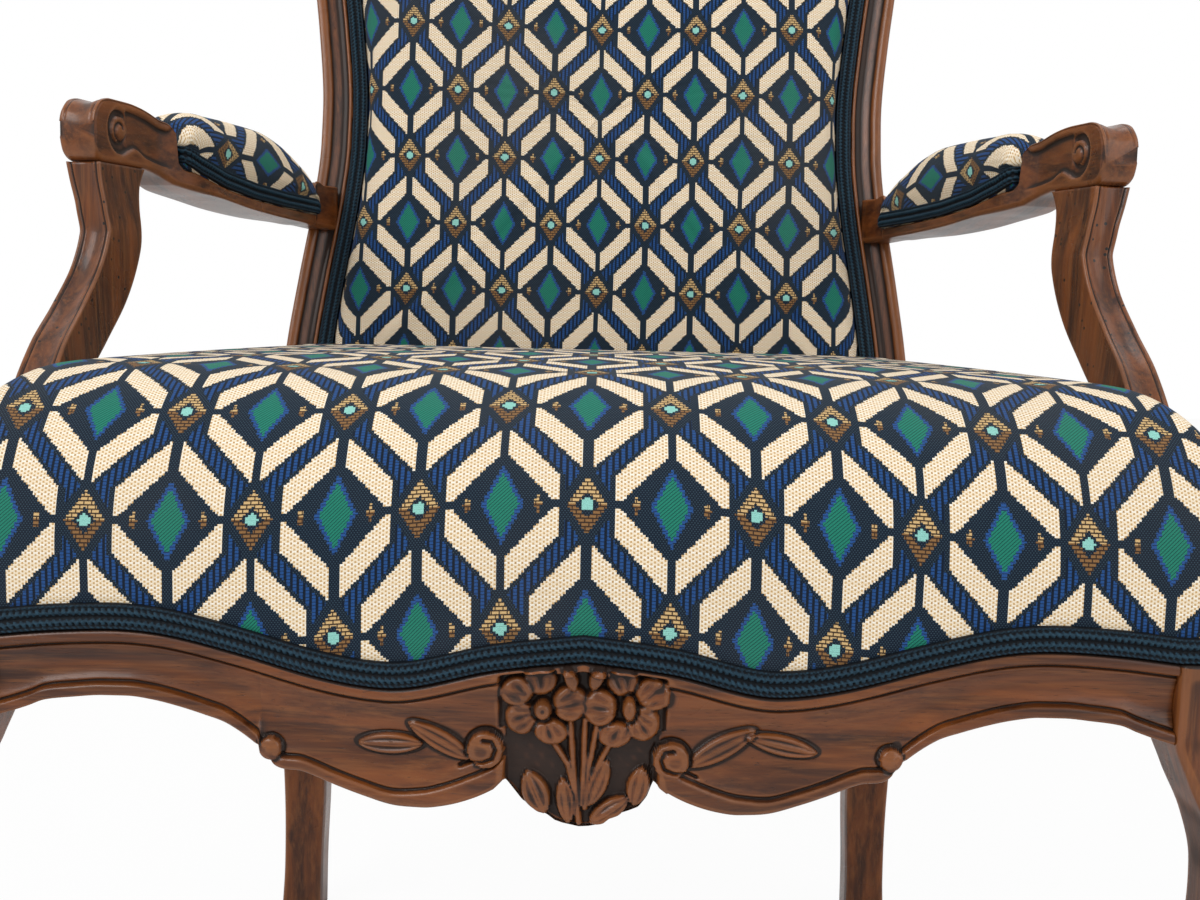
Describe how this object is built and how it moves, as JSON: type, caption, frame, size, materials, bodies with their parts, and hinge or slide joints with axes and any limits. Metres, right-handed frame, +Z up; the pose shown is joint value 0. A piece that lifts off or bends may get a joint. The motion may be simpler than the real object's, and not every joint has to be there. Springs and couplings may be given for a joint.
{
  "type": "open armchair",
  "caption": "Open armchair with a moulded and carved cabriole frame, shaped back, scrolled arms and a padded seat, back and arm pads.",
  "frame": {"origin": "middle of the bounding box, on the floor", "axes": "+Z up, the chair faces -Y, +X is on the right of someone who looks at its front"},
  "size_m": [0.6536, 0.6458, 0.944],
  "materials": {
    "walnut": "waxed, worn on the arrises and dark in the grooves",
    "trellis_fabric": "woven trellis of cream bars, blue ribs, green lozenges and small gold diamonds on dark blue",
    "gimp_braid": "braided cord trim, matt",
    "jute": "plain coarse weave",
    "horsehair": "loose curled hair"
  },
  "bodies": {
    "root": {"front_rail": "walnut", "front_leg_right": "walnut", "front_leg_left": "walnut", "side_rail_right": "walnut", "side_rail_left": "walnut", "back_rail": "walnut", "rear_stile_right": "walnut", "rear_stile_left": "walnut", "crest_rail": "walnut", "lower_back_rail": "walnut", "arm_support_right": "walnut", "arm_support_left": "walnut", "armrest_right": "walnut", "armrest_left": "walnut", "arm_pad_right": "trellis_fabric", "arm_pad_left": "trellis_fabric", "seat_cover": "trellis_fabric", "back_cover": "trellis_fabric", "back_outer_cover": "trellis_fabric", "arm_gimp_right": "gimp_braid", "arm_gimp_left": "gimp_braid", "seat_gimp_front": "gimp_braid", "seat_gimp_right": "gimp_braid", "seat_gimp_left": "gimp_braid", "back_gimp": "gimp_braid", "back_outer_gimp": "gimp_braid", "seat_hessian": "jute", "seat_web_long_1": "jute", "seat_web_long_2": "jute", "seat_web_long_3": "jute", "seat_web_long_4": "jute", "seat_web_cross_1": "jute", "seat_web_cross_2": "jute", "seat_web_cross_3": "jute", "back_hessian": "jute", "seat_stuffing": "horsehair", "back_stuffing": "horsehair"}
  },
  "joints": []
}
